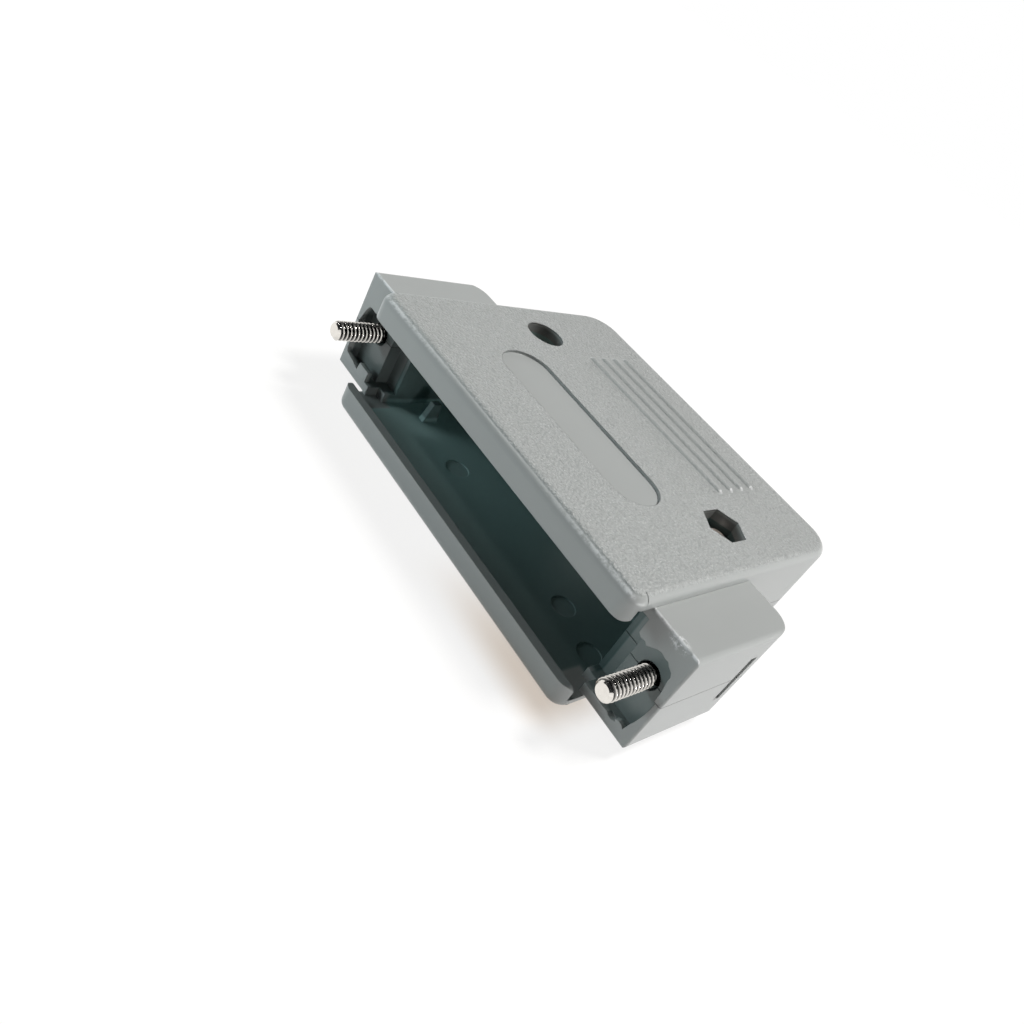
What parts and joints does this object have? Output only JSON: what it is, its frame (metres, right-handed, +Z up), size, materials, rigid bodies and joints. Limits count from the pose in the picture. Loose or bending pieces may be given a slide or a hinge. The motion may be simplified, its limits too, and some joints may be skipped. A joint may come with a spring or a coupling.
{
  "type": "d-sub hood",
  "caption": "Grey plastic hood for a trapezoidal cable connector, split into halves, with screw ears, captive jackscrews, closing screws and an inner cable clamp.",
  "frame": {"origin": "centre of the whole part's box, at the height of the surface it lies on", "axes": "+X along the width from one screw ear to the other, +Y from the connector's mouth to the cable outlet, +Z up through the closed hood's thickness"},
  "size_m": [0.0716, 0.047, 0.0198],
  "materials": {
    "grey_plastic": "moulded grey plastic with a fine grain on the broad faces",
    "nickel_plate": "bright nickel plate on steel",
    "screw_steel": "zinc-plated steel",
    "zinc_plate": "zinc-plated pressed steel"
  },
  "bodies": {
    "hood": {"upper_shell": "grey_plastic", "lower_shell": "grey_plastic", "closing_screw_left": "screw_steel", "closing_screw_right": "screw_steel", "closing_nut_left": "screw_steel", "closing_nut_right": "screw_steel", "clamp_bar_upper": "zinc_plate", "clamp_bar_lower": "zinc_plate", "clamp_screw_left": "zinc_plate", "clamp_screw_right": "zinc_plate", "clamp_nut_left": "zinc_plate", "clamp_nut_right": "zinc_plate"},
    "screw_left": {"jackscrew_left": "nickel_plate"},
    "screw_right": {"jackscrew_right": "nickel_plate"}
  },
  "joints": [
    {"name": "jackscrew_left_spin", "type": "hinge", "parent": "hood", "child": "screw_left", "pos_m": [-0.03175, -0.00165, 0.0099], "axis": [0, 1, 0], "continuous": true},
    {"name": "jackscrew_right_spin", "type": "hinge", "parent": "hood", "child": "screw_right", "pos_m": [0.03175, -0.00165, 0.0099], "axis": [0, 1, 0], "continuous": true}
  ]
}
